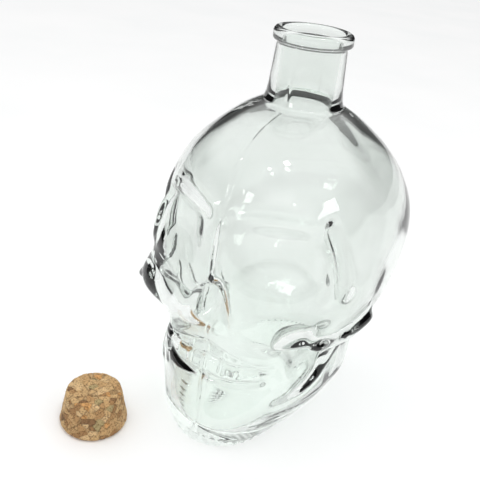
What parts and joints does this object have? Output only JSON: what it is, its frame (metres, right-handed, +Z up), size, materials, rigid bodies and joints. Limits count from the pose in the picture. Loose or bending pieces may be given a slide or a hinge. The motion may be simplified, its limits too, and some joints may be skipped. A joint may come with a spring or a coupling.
{
  "type": "poison bottle",
  "caption": "Clear glass bottle blown as a hollow skull with a straight round neck and beaded lip, its loose tapered cork stopper standing beside it.",
  "frame": {"origin": "on the neck's axis, on the flat of the foot, in the plane of the table", "axes": "+Z up along the neck, -Y the way the face looks, +X toward the skull's left"},
  "size_m": [0.1116, 0.1617, 0.172],
  "materials": {
    "glass": "gloss",
    "cork": "matte"
  },
  "bodies": {
    "bottle": {"glass_bottle": "glass"},
    "cork": {"cork_stopper": "cork"}
  },
  "joints": [
    {"name": "cork_lift", "type": "slide", "parent": "bottle", "child": "cork", "axis": [0, 0, 1], "range_m": [0, 0.2]}
  ]
}
